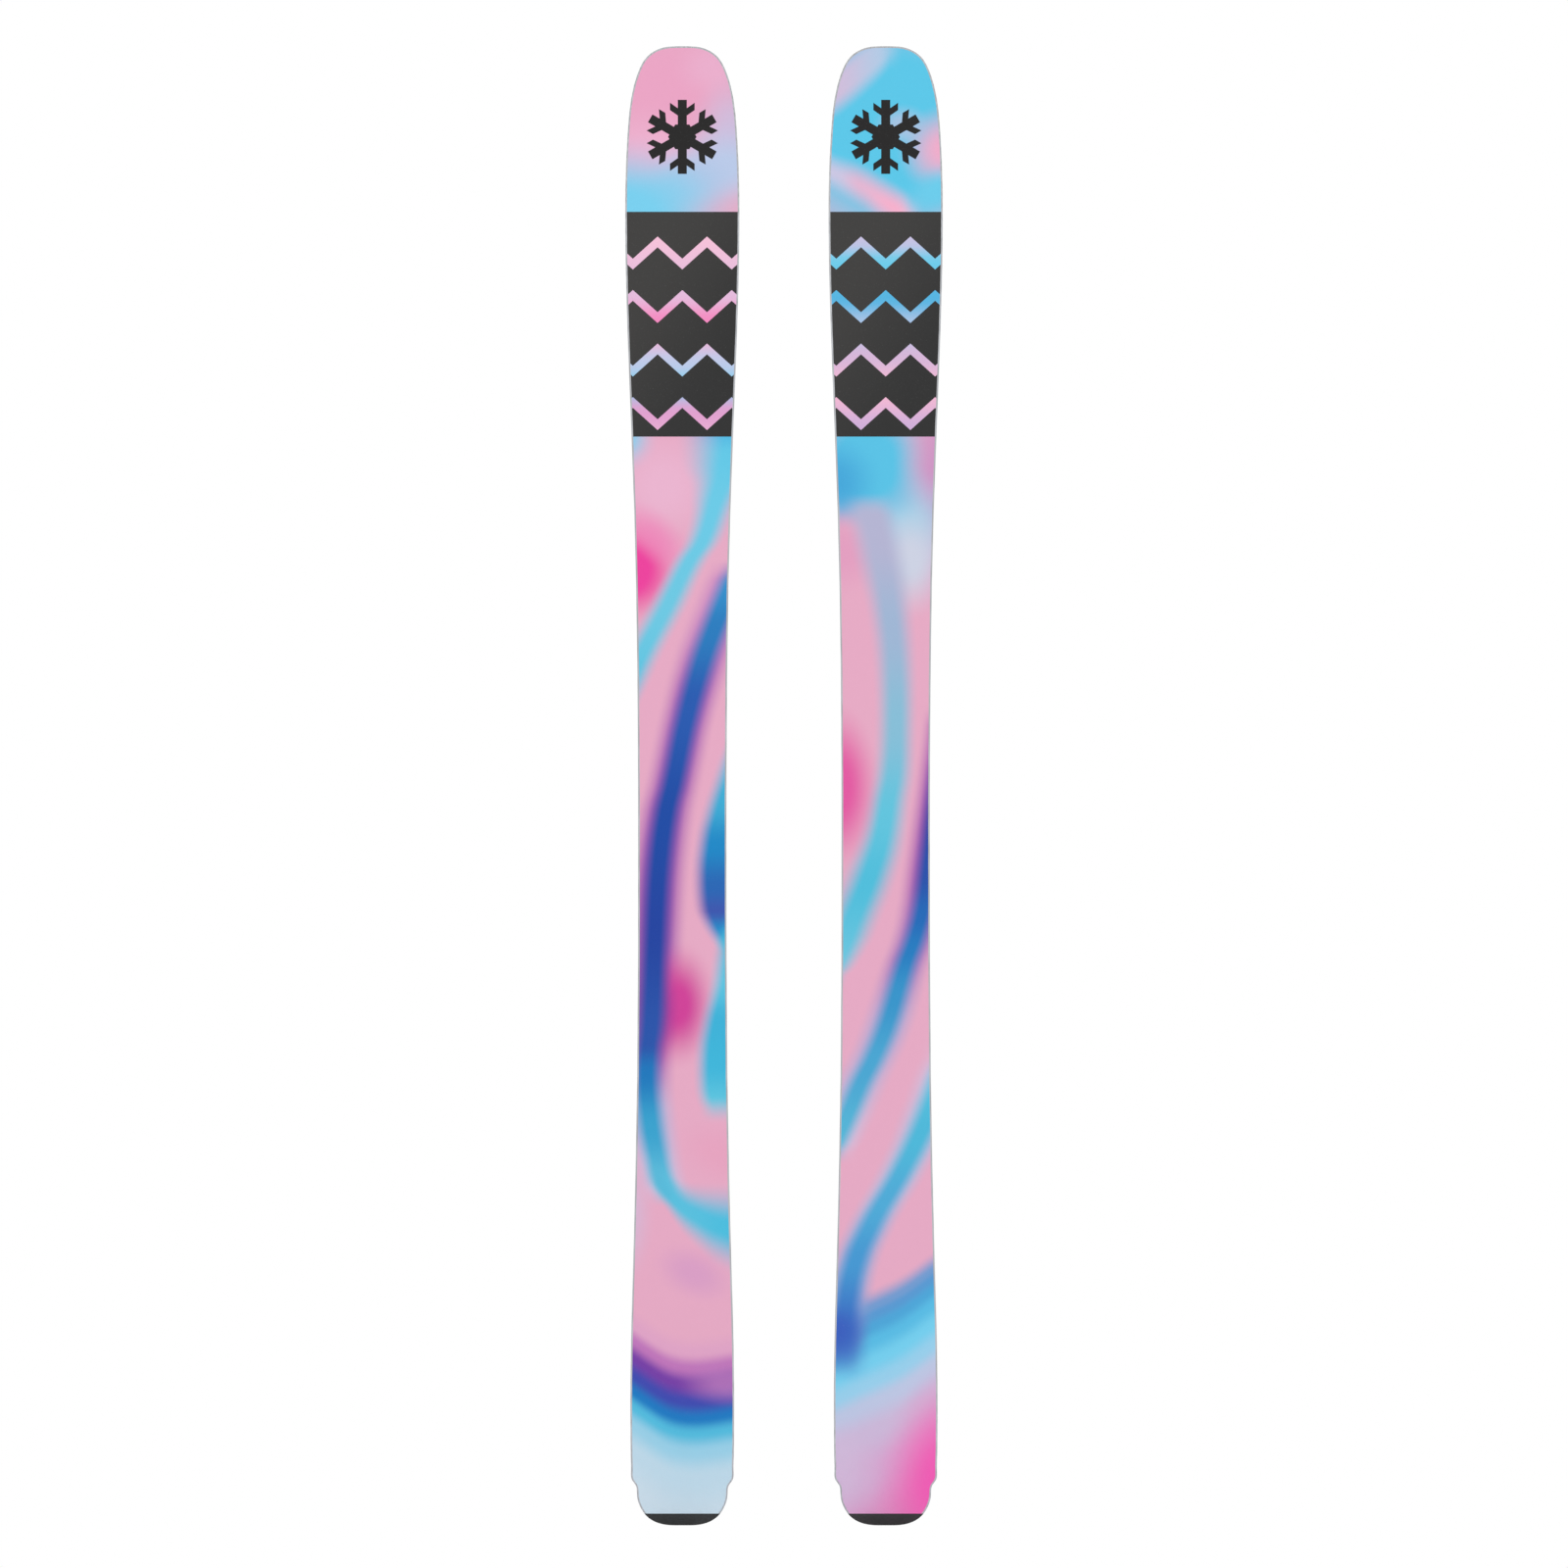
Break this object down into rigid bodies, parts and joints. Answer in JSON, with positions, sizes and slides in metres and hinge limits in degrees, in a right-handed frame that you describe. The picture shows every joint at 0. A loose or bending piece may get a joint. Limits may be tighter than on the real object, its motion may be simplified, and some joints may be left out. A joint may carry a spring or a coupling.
{
  "type": "alpine skis with bindings",
  "caption": "Pair of wide rockered alpine skis with step-in bindings and stowed ski brakes, held upright with the running bases facing forward.",
  "frame": {"origin": "midway between the two skis' boot-centre marks, on the plane of the running bases", "axes": "+Z from the tails to the tips, -Y out of the running bases, +Y out of the topsheets, +X from the left ski to the right ski as seen from the bases"},
  "size_m": [0.3856, 0.105, 1.796],
  "materials": {
    "running_base": "waxed printed running base",
    "edge_steel": "ground steel",
    "laminate": "glass-fibre laminate",
    "core_wood": "strip-laminated wood",
    "sidewall": "satin moulded wall",
    "topsheet": "satin printed sheet",
    "tail_cap": "moulded black",
    "binding_plastic": "glass-filled nylon",
    "housing_plastic": "moulded satin housing",
    "wing_metal": "coated die casting",
    "slip_plate": "low-friction plate",
    "lever_plastic": "moulded lever",
    "pin_steel": "ground pin",
    "spring_steel": "oiled spring wire",
    "screw_metal": "plated screw",
    "brake_wire": "bent steel wire",
    "shoe_plastic": "moulded shoe"
  },
  "bodies": {
    "left_ski": {"left_base": "running_base", "left_edges": "edge_steel", "left_lower_laminate": "laminate", "left_core": "core_wood", "left_sidewalls": "sidewall", "left_upper_laminate": "laminate", "left_topsheet": "topsheet", "left_tail_protector": "tail_cap", "left_toe_base": "binding_plastic", "left_toe_housing": "housing_plastic", "left_toe_wing_pins": "pin_steel", "left_toe_spring": "spring_steel", "left_toe_release_screw": "screw_metal", "left_heel_track": "binding_plastic", "left_brake_base": "binding_plastic", "left_mounting_screws": "screw_metal"},
    "left_toe_wing_left": {"left_toe_wing_left": "wing_metal"},
    "left_toe_wing_right": {"left_toe_wing_right": "wing_metal"},
    "left_friction_plate": {"left_toe_friction_plate": "slip_plate"},
    "left_heel_carriage": {"left_heel_carriage": "binding_plastic", "left_heel_pivot_pins": "pin_steel"},
    "left_heel_housing": {"left_heel_housing": "housing_plastic", "left_heel_spring": "spring_steel", "left_heel_release_screw": "screw_metal"},
    "left_heel_lever": {"left_heel_lever": "lever_plastic"},
    "left_brake_pedal": {"left_brake_pedal": "binding_plastic"},
    "left_brake_arm_left": {"left_brake_arm_left": "brake_wire", "left_brake_shoe_left": "shoe_plastic"},
    "left_brake_arm_right": {"left_brake_arm_right": "brake_wire", "left_brake_shoe_right": "shoe_plastic"},
    "right_ski": {"right_base": "running_base", "right_edges": "edge_steel", "right_lower_laminate": "laminate", "right_core": "core_wood", "right_sidewalls": "sidewall", "right_upper_laminate": "laminate", "right_topsheet": "topsheet", "right_tail_protector": "tail_cap", "right_toe_base": "binding_plastic", "right_toe_housing": "housing_plastic", "right_toe_wing_pins": "pin_steel", "right_toe_spring": "spring_steel", "right_toe_release_screw": "screw_metal", "right_heel_track": "binding_plastic", "right_brake_base": "binding_plastic", "right_mounting_screws": "screw_metal"},
    "right_toe_wing_left": {"right_toe_wing_left": "wing_metal"},
    "right_toe_wing_right": {"right_toe_wing_right": "wing_metal"},
    "right_friction_plate": {"right_toe_friction_plate": "slip_plate"},
    "right_heel_carriage": {"right_heel_carriage": "binding_plastic", "right_heel_pivot_pins": "pin_steel"},
    "right_heel_housing": {"right_heel_housing": "housing_plastic", "right_heel_spring": "spring_steel", "right_heel_release_screw": "screw_metal"},
    "right_heel_lever": {"right_heel_lever": "lever_plastic"},
    "right_brake_pedal": {"right_brake_pedal": "binding_plastic"},
    "right_brake_arm_left": {"right_brake_arm_left": "brake_wire", "right_brake_shoe_left": "shoe_plastic"},
    "right_brake_arm_right": {"right_brake_arm_right": "brake_wire", "right_brake_shoe_right": "shoe_plastic"}
  },
  "joints": [
    {"name": "pair_spread", "type": "slide", "parent": "left_ski", "child": "right_ski", "axis": [1, 0, 0], "range_m": [-0.05, 0.2]},
    {"name": "left_toe_wing_left_turn", "type": "hinge", "parent": "left_ski", "child": "left_toe_wing_left", "pos_m": [-0.1455, 0.052, 0.174], "axis": [0, 1, 0], "range_deg": [0, 30], "stiffness_Nm_per_rad": 20},
    {"name": "left_toe_wing_right_turn", "type": "hinge", "parent": "left_ski", "child": "left_toe_wing_right", "pos_m": [-0.1015, 0.052, 0.174], "axis": [0, -1, 0], "range_deg": [0, 30], "stiffness_Nm_per_rad": 20},
    {"name": "left_friction_plate_slide", "type": "slide", "parent": "left_ski", "child": "left_friction_plate", "axis": [1, 0, 0], "range_m": [-0.005, 0.005], "stiffness_N_per_m": 800},
    {"name": "left_heel_carriage_slide", "type": "slide", "parent": "left_ski", "child": "left_heel_carriage", "axis": [0, 0, 1], "range_m": [-0.01, 0.01]},
    {"name": "left_heel_housing_turn", "type": "hinge", "parent": "left_heel_carriage", "child": "left_heel_housing", "pos_m": [-0.1235, 0.049, -0.238], "axis": [-1, 0, 0], "range_deg": [0, 45]},
    {"name": "left_heel_lever_turn", "type": "hinge", "parent": "left_heel_housing", "child": "left_heel_lever", "pos_m": [-0.1235, 0.081, -0.243], "axis": [-1, 0, 0], "range_deg": [0, 16]},
    {"name": "left_brake_pedal_turn", "type": "hinge", "parent": "left_ski", "child": "left_brake_pedal", "pos_m": [-0.1235, 0.031, -0.088], "axis": [1, 0, 0], "range_deg": [0, 40]},
    {"name": "left_brake_arm_left_turn", "type": "hinge", "parent": "left_ski", "child": "left_brake_arm_left", "pos_m": [-0.1545, 0.0225, -0.112], "axis": [-0.6604, 0.4002, 0.6354], "range_deg": [0, 76.5]},
    {"name": "left_brake_arm_right_turn", "type": "hinge", "parent": "left_ski", "child": "left_brake_arm_right", "pos_m": [-0.0925, 0.0225, -0.112], "axis": [-0.6604, -0.4002, -0.6354], "range_deg": [0, 76.5]},
    {"name": "right_toe_wing_left_turn", "type": "hinge", "parent": "right_ski", "child": "right_toe_wing_left", "pos_m": [0.1015, 0.052, 0.174], "axis": [0, 1, 0], "range_deg": [0, 30], "stiffness_Nm_per_rad": 20},
    {"name": "right_toe_wing_right_turn", "type": "hinge", "parent": "right_ski", "child": "right_toe_wing_right", "pos_m": [0.1455, 0.052, 0.174], "axis": [0, -1, 0], "range_deg": [0, 30], "stiffness_Nm_per_rad": 20},
    {"name": "right_friction_plate_slide", "type": "slide", "parent": "right_ski", "child": "right_friction_plate", "axis": [1, 0, 0], "range_m": [-0.005, 0.005], "stiffness_N_per_m": 800},
    {"name": "right_heel_carriage_slide", "type": "slide", "parent": "right_ski", "child": "right_heel_carriage", "axis": [0, 0, 1], "range_m": [-0.01, 0.01]},
    {"name": "right_heel_housing_turn", "type": "hinge", "parent": "right_heel_carriage", "child": "right_heel_housing", "pos_m": [0.1235, 0.049, -0.238], "axis": [-1, 0, 0], "range_deg": [0, 45]},
    {"name": "right_heel_lever_turn", "type": "hinge", "parent": "right_heel_housing", "child": "right_heel_lever", "pos_m": [0.1235, 0.081, -0.243], "axis": [-1, 0, 0], "range_deg": [0, 16]},
    {"name": "right_brake_pedal_turn", "type": "hinge", "parent": "right_ski", "child": "right_brake_pedal", "pos_m": [0.1235, 0.031, -0.088], "axis": [1, 0, 0], "range_deg": [0, 40]},
    {"name": "right_brake_arm_left_turn", "type": "hinge", "parent": "right_ski", "child": "right_brake_arm_left", "pos_m": [0.0925, 0.0225, -0.112], "axis": [-0.6604, 0.4002, 0.6354], "range_deg": [0, 76.5]},
    {"name": "right_brake_arm_right_turn", "type": "hinge", "parent": "right_ski", "child": "right_brake_arm_right", "pos_m": [0.1545, 0.0225, -0.112], "axis": [-0.6604, -0.4002, -0.6354], "range_deg": [0, 76.5]}
  ],
  "couplings": [
    {"joint": "left_heel_lever_turn", "follows": "left_heel_housing_turn", "ratio": 0.3},
    {"joint": "left_brake_arm_left_turn", "follows": "left_brake_pedal_turn", "ratio": 1.9},
    {"joint": "left_brake_arm_right_turn", "follows": "left_brake_pedal_turn", "ratio": 1.9},
    {"joint": "right_heel_lever_turn", "follows": "right_heel_housing_turn", "ratio": 0.3},
    {"joint": "right_brake_arm_left_turn", "follows": "right_brake_pedal_turn", "ratio": 1.9},
    {"joint": "right_brake_arm_right_turn", "follows": "right_brake_pedal_turn", "ratio": 1.9}
  ]
}
